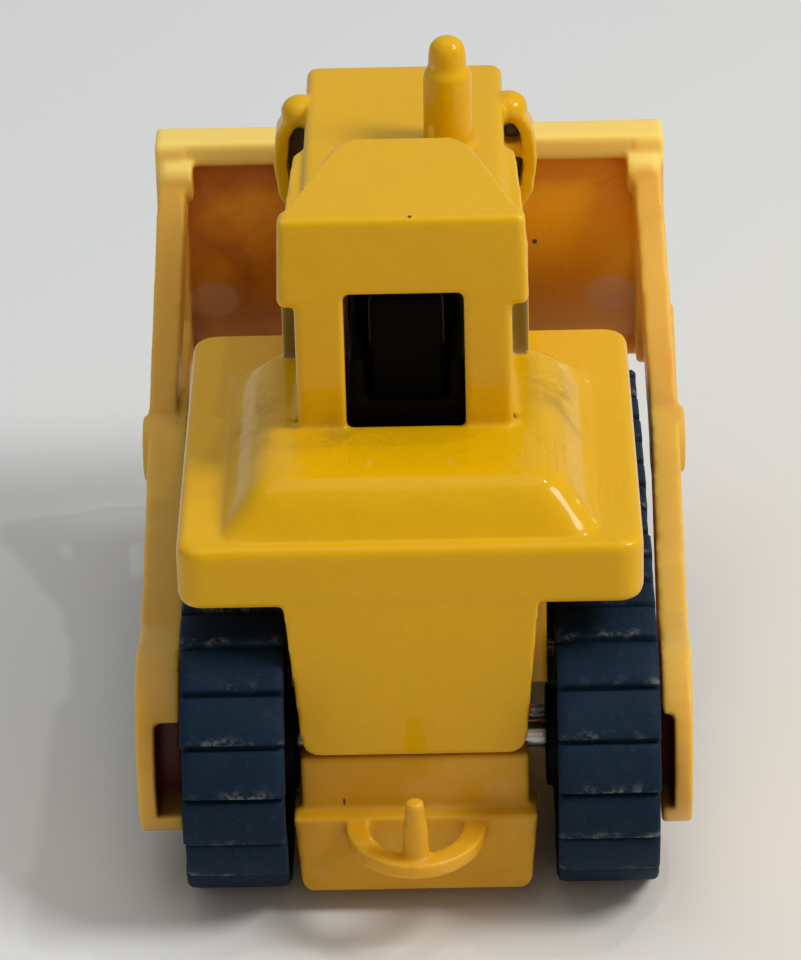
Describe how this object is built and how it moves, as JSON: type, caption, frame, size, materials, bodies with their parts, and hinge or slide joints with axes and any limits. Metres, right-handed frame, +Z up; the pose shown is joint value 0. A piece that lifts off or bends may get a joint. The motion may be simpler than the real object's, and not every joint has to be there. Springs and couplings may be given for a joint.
{
  "type": "toy bulldozer",
  "caption": "Small die-cast toy bulldozer with rubber tracks, a half cab behind a long hood, a tow hook and a plastic blade that lifts on push arms.",
  "frame": {"origin": "on the floor under the middle of the toy's bounding box", "axes": "+Y towards the blade, +X to the toy's right, +Z up"},
  "size_m": [0.0476, 0.0798, 0.0571],
  "materials": {
    "base_chassis": "satin, moulded, slightly translucent",
    "blade_and_arms": "satin, moulded, slightly translucent",
    "body_casting": "glossy, thick enamel",
    "cab_interior": "matt, moulded",
    "front_axle": "bright drawn wire",
    "front_roller_left": "matt, moulded",
    "front_roller_right": "matt, moulded",
    "front_wheel_left": "matt, moulded",
    "front_wheel_right": "matt, moulded",
    "rear_axle": "bright drawn wire",
    "rear_roller_left": "matt, moulded",
    "rear_roller_right": "matt, moulded",
    "rear_wheel_left": "matt, moulded",
    "rear_wheel_right": "matt, moulded",
    "rivet_front": "bright, pressed head",
    "rivet_rear": "bright, pressed head",
    "roller_axle_front": "bright drawn wire",
    "roller_axle_rear": "bright drawn wire",
    "track_left": "matt, moulded, worn on the pad edges",
    "track_right": "matt, moulded, worn on the pad edges"
  },
  "bodies": {
    "casting": {"body_casting": "body_casting", "cab_interior": "cab_interior", "base_chassis": "base_chassis", "track_left": "track_left", "track_right": "track_right", "rivet_rear": "rivet_rear", "rivet_front": "rivet_front"},
    "rear_wheels": {"rear_axle": "rear_axle", "rear_wheel_left": "rear_wheel_left", "rear_wheel_right": "rear_wheel_right"},
    "front_wheels": {"front_axle": "front_axle", "front_wheel_left": "front_wheel_left", "front_wheel_right": "front_wheel_right"},
    "rear_rollers": {"roller_axle_rear": "roller_axle_rear", "rear_roller_left": "rear_roller_left", "rear_roller_right": "rear_roller_right"},
    "front_rollers": {"roller_axle_front": "roller_axle_front", "front_roller_left": "front_roller_left", "front_roller_right": "front_roller_right"},
    "blade": {"blade_and_arms": "blade_and_arms"}
  },
  "joints": [
    {"name": "blade_lift", "type": "hinge", "parent": "casting", "child": "blade", "pos_m": [0, -0.02535, 0.012], "axis": [1, 0, 0], "range_deg": [-12.5, 6]},
    {"name": "rear_wheel_spin", "type": "hinge", "parent": "casting", "child": "rear_wheels", "pos_m": [0, -0.02535, 0.012], "axis": [-1, 0, 0], "continuous": true},
    {"name": "front_wheel_spin", "type": "hinge", "parent": "casting", "child": "front_wheels", "pos_m": [0, 0.01405, 0.012], "axis": [-1, 0, 0], "continuous": true},
    {"name": "rear_roller_spin", "type": "hinge", "parent": "casting", "child": "rear_rollers", "pos_m": [0, -0.01115, 0.0057], "axis": [-1, 0, 0], "continuous": true},
    {"name": "front_roller_spin", "type": "hinge", "parent": "casting", "child": "front_rollers", "pos_m": [0, -0.00015, 0.0057], "axis": [-1, 0, 0], "continuous": true}
  ],
  "couplings": [
    {"joint": "front_wheel_spin", "follows": "rear_wheel_spin", "ratio": 1},
    {"joint": "rear_roller_spin", "follows": "rear_wheel_spin", "ratio": 2.75},
    {"joint": "front_roller_spin", "follows": "rear_wheel_spin", "ratio": 2.75}
  ]
}
